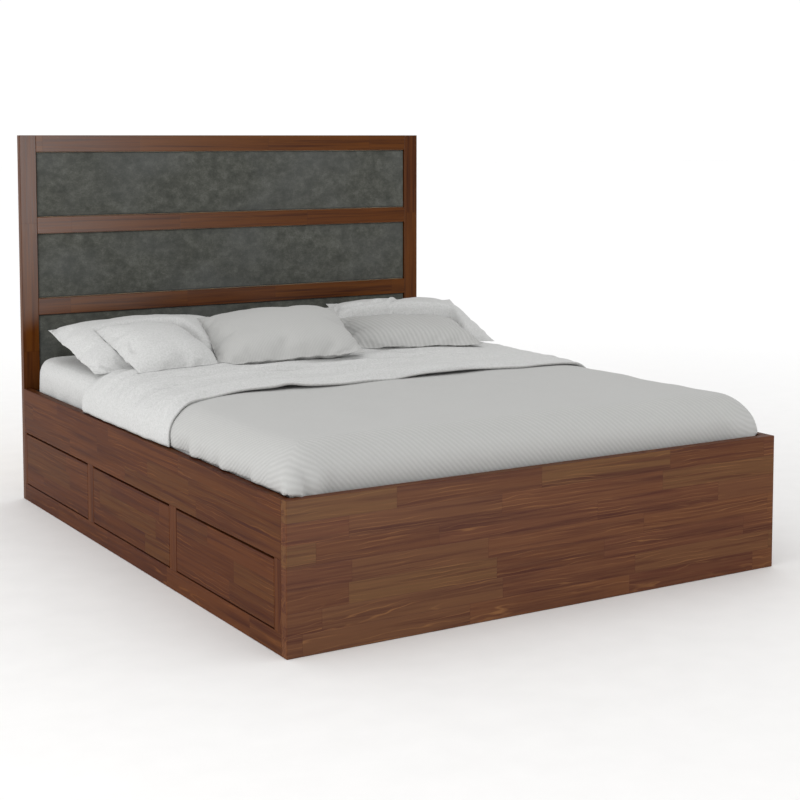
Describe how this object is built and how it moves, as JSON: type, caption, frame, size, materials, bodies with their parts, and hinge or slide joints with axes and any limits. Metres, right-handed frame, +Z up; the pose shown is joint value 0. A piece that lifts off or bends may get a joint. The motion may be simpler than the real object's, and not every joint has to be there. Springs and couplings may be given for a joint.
{
  "type": "platform bed with storage drawers",
  "caption": "Wooden platform bed with a tall panelled upholstered headboard, flush storage drawers along both sides, slatted base, mattress, duvet and pillows.",
  "frame": {"origin": "on the floor under the middle of the bed's outline", "axes": "+Z up, +Y towards the headboard along the bed's length, -X is the left side seen from the foot end"},
  "size_m": [1.68, 2.1, 1.326],
  "materials": {
    "stained_wood": "satin",
    "plain_pine": "matte",
    "plywood": "matte",
    "velvet": "matte velvet",
    "slide_steel": "zinc plated",
    "bracket_steel": "matte",
    "white_speckled_cotton": "matte",
    "grey_ribbed_cotton": "matte",
    "grey_striped_cotton": "matte"
  },
  "bodies": {
    "bed": {"headboard_post_left": "stained_wood", "headboard_post_right": "stained_wood", "headboard_top_rail": "stained_wood", "headboard_cross_rails": "stained_wood", "headboard_base_board": "stained_wood", "footboard": "stained_wood", "side_board_left": "stained_wood", "side_board_right": "stained_wood", "plinth_rail_left": "stained_wood", "plinth_rail_right": "stained_wood", "stiles_left": "stained_wood", "stiles_right": "stained_wood", "headboard_pad_top": "velvet", "headboard_pad_middle": "velvet", "headboard_pad_bottom": "velvet", "headboard_pad_boards": "plywood", "partitions": "plain_pine", "centre_panel": "plain_pine", "slat_ledgers": "plain_pine", "slats": "plain_pine", "slide_outer_rails": "slide_steel", "corner_brackets": "bracket_steel", "bracket_screws": "slide_steel", "mattress": "white_speckled_cotton", "duvet": "grey_ribbed_cotton", "pillow_back_left": "white_speckled_cotton", "pillow_front_left": "white_speckled_cotton", "pillow_centre": "grey_striped_cotton", "pillow_back_right": "white_speckled_cotton", "pillow_front_right": "grey_ribbed_cotton"},
    "drawer_left_head": {"drawer_front_left_head": "stained_wood", "drawer_walls_left_head": "plain_pine", "drawer_bottom_left_head": "plywood", "slide_inner_rails_left_head": "slide_steel"},
    "slide_left_head": {"slide_middle_rails_left_head": "slide_steel"},
    "drawer_left_middle": {"drawer_front_left_middle": "stained_wood", "drawer_walls_left_middle": "plain_pine", "drawer_bottom_left_middle": "plywood", "slide_inner_rails_left_middle": "slide_steel"},
    "slide_left_middle": {"slide_middle_rails_left_middle": "slide_steel"},
    "drawer_left_foot": {"drawer_front_left_foot": "stained_wood", "drawer_walls_left_foot": "plain_pine", "drawer_bottom_left_foot": "plywood", "slide_inner_rails_left_foot": "slide_steel"},
    "slide_left_foot": {"slide_middle_rails_left_foot": "slide_steel"},
    "drawer_right_head": {"drawer_front_right_head": "stained_wood", "drawer_walls_right_head": "plain_pine", "drawer_bottom_right_head": "plywood", "slide_inner_rails_right_head": "slide_steel"},
    "slide_right_head": {"slide_middle_rails_right_head": "slide_steel"},
    "drawer_right_middle": {"drawer_front_right_middle": "stained_wood", "drawer_walls_right_middle": "plain_pine", "drawer_bottom_right_middle": "plywood", "slide_inner_rails_right_middle": "slide_steel"},
    "slide_right_middle": {"slide_middle_rails_right_middle": "slide_steel"},
    "drawer_right_foot": {"drawer_front_right_foot": "stained_wood", "drawer_walls_right_foot": "plain_pine", "drawer_bottom_right_foot": "plywood", "slide_inner_rails_right_foot": "slide_steel"},
    "slide_right_foot": {"slide_middle_rails_right_foot": "slide_steel"}
  },
  "joints": [
    {"name": "drawer_left_head_pull", "type": "slide", "parent": "bed", "child": "drawer_left_head", "axis": [-1, 0, 0], "range_m": [0, 0.6]},
    {"name": "slide_left_head_run", "type": "slide", "parent": "bed", "child": "slide_left_head", "axis": [-1, 0, 0], "range_m": [0, 0.3]},
    {"name": "drawer_left_middle_pull", "type": "slide", "parent": "bed", "child": "drawer_left_middle", "axis": [-1, 0, 0], "range_m": [0, 0.6]},
    {"name": "slide_left_middle_run", "type": "slide", "parent": "bed", "child": "slide_left_middle", "axis": [-1, 0, 0], "range_m": [0, 0.3]},
    {"name": "drawer_left_foot_pull", "type": "slide", "parent": "bed", "child": "drawer_left_foot", "axis": [-1, 0, 0], "range_m": [0, 0.6]},
    {"name": "slide_left_foot_run", "type": "slide", "parent": "bed", "child": "slide_left_foot", "axis": [-1, 0, 0], "range_m": [0, 0.3]},
    {"name": "drawer_right_head_pull", "type": "slide", "parent": "bed", "child": "drawer_right_head", "axis": [1, 0, 0], "range_m": [0, 0.6]},
    {"name": "slide_right_head_run", "type": "slide", "parent": "bed", "child": "slide_right_head", "axis": [1, 0, 0], "range_m": [0, 0.3]},
    {"name": "drawer_right_middle_pull", "type": "slide", "parent": "bed", "child": "drawer_right_middle", "axis": [1, 0, 0], "range_m": [0, 0.6]},
    {"name": "slide_right_middle_run", "type": "slide", "parent": "bed", "child": "slide_right_middle", "axis": [1, 0, 0], "range_m": [0, 0.3]},
    {"name": "drawer_right_foot_pull", "type": "slide", "parent": "bed", "child": "drawer_right_foot", "axis": [1, 0, 0], "range_m": [0, 0.6]},
    {"name": "slide_right_foot_run", "type": "slide", "parent": "bed", "child": "slide_right_foot", "axis": [1, 0, 0], "range_m": [0, 0.3]}
  ],
  "couplings": [
    {"joint": "slide_left_head_run", "follows": "drawer_left_head_pull", "ratio": 0.5},
    {"joint": "slide_left_middle_run", "follows": "drawer_left_middle_pull", "ratio": 0.5},
    {"joint": "slide_left_foot_run", "follows": "drawer_left_foot_pull", "ratio": 0.5},
    {"joint": "slide_right_head_run", "follows": "drawer_right_head_pull", "ratio": 0.5},
    {"joint": "slide_right_middle_run", "follows": "drawer_right_middle_pull", "ratio": 0.5},
    {"joint": "slide_right_foot_run", "follows": "drawer_right_foot_pull", "ratio": 0.5}
  ]
}
